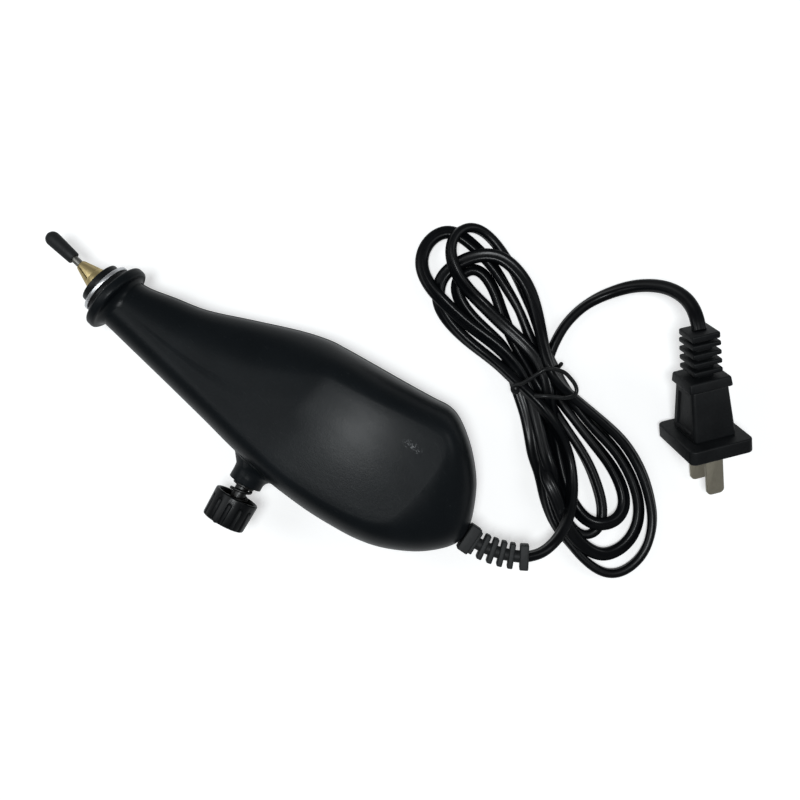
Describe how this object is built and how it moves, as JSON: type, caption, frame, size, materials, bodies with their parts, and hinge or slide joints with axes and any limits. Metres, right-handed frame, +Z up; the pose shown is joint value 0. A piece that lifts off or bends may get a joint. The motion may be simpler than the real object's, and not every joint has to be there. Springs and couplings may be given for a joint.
{
  "type": "electric engraving pen",
  "caption": "Hand-held engraving pen with a tapered housing, a capped needle, a side knob that sets the stroke, and a mains cord tied in a hank that ends in a bladed plug.",
  "frame": {"origin": "on the flat underside of the lower shell, below the middle of the motor housing", "axes": "+X from the needle's tip towards the cord, +Y towards the swollen side away from the knob, +Z up from the table"},
  "size_m": [0.2415, 0.1741, 0.042],
  "materials": {
    "housing_plastic": "black moulded plastic with a fine, slightly shiny grain",
    "cap_plastic": "black moulded plastic, satin",
    "black_rubber": "soft black rubber, matt",
    "bright_steel": "bright turned steel",
    "dark_steel": "dull dark steel",
    "needle_steel": "ground steel, slightly tarnished",
    "brass": "turned brass, bright",
    "copper_wire": "enamelled copper wire, even turns",
    "cord_jacket": "glossy black flexible cord jacket",
    "tie_wire": "thin black covered wire",
    "plug_plastic": "black moulded plug plastic with a fine leather grain",
    "blade_metal": "nickel-plated blade, dull"
  },
  "bodies": {
    "housing": {"upper_shell": "housing_plastic", "lower_shell": "housing_plastic", "shell_screw_1": "dark_steel", "shell_screw_2": "dark_steel", "shell_screw_3": "dark_steel", "nose_washer": "black_rubber", "nose_clamp_ring": "bright_steel", "nose_cap": "cap_plastic", "front_bush": "brass", "rear_bush": "brass", "return_spring": "dark_steel", "armature_pin": "bright_steel", "magnet_core": "dark_steel", "side_plate_upper": "bright_steel", "side_plate_lower": "bright_steel", "coil_bobbin": "cap_plastic", "coil_winding": "copper_wire", "magnet_screw_1": "bright_steel", "magnet_screw_2": "bright_steel", "adjuster_insert": "brass", "adjuster_spring": "bright_steel", "strain_relief": "black_rubber", "inner_cord": "cord_jacket", "coil_lead_1": "cord_jacket", "coil_lead_2": "cord_jacket", "cord_clamp": "dark_steel", "clamp_screw_1": "dark_steel", "clamp_screw_2": "dark_steel", "cord_from_pen": "cord_jacket", "cord_hank": "cord_jacket", "cord_to_plug": "cord_jacket", "hank_tie": "tie_wire", "plug_body": "plug_plastic", "plug_blade_1": "blade_metal", "plug_blade_2": "blade_metal"},
    "needle_shaft": {"drive_shaft": "bright_steel", "shaft_nut": "dark_steel"},
    "armature_lever": {"armature": "dark_steel"},
    "chuck": {"needle_chuck": "brass"},
    "needle_body": {"needle": "needle_steel"},
    "needle_cap": {"tip_cap": "black_rubber"},
    "adjuster_carriage": {"adjuster_washer": "bright_steel"},
    "adjuster": {"adjuster_knob": "cap_plastic", "adjuster_screw": "bright_steel"}
  },
  "joints": [
    {"name": "needle_stroke", "type": "slide", "parent": "housing", "child": "needle_shaft", "axis": [1, 0, 0], "range_m": [-0.0006, 0.0006], "stiffness_N_per_m": 600, "deforming": ["return_spring"]},
    {"name": "armature_rock", "type": "hinge", "parent": "housing", "child": "armature_lever", "pos_m": [-0.0278, 0.0152, 0.021], "axis": [0, 0, 1], "range_deg": [-1.05, 1.05]},
    {"name": "chuck_turn", "type": "hinge", "parent": "needle_shaft", "child": "chuck", "pos_m": [-0.1, -0.019, 0.021], "axis": [1, 0, 0], "range_deg": [0, 180]},
    {"name": "needle_draw", "type": "slide", "parent": "needle_shaft", "child": "needle_body", "axis": [-1, 0, 0], "range_m": [0, 0.012]},
    {"name": "cap_pull", "type": "slide", "parent": "needle_body", "child": "needle_cap", "axis": [-1, 0, 0], "range_m": [0, 0.013]},
    {"name": "adjuster_feed", "type": "slide", "parent": "housing", "child": "adjuster_carriage", "axis": [0.2317, -0.9728, 0], "range_m": [-0.0016, 0.0016], "deforming": ["adjuster_spring"]},
    {"name": "adjuster_turn", "type": "hinge", "parent": "adjuster_carriage", "child": "adjuster", "pos_m": [-0.02, -0.0361, 0.021], "axis": [0.2317, -0.9728, 0], "range_deg": [-720, 720]}
  ],
  "couplings": [
    {"joint": "armature_rock", "follows": "needle_stroke", "rad_per_m": 29.24},
    {"joint": "adjuster_turn", "follows": "adjuster_feed", "rad_per_m": 7854}
  ]
}
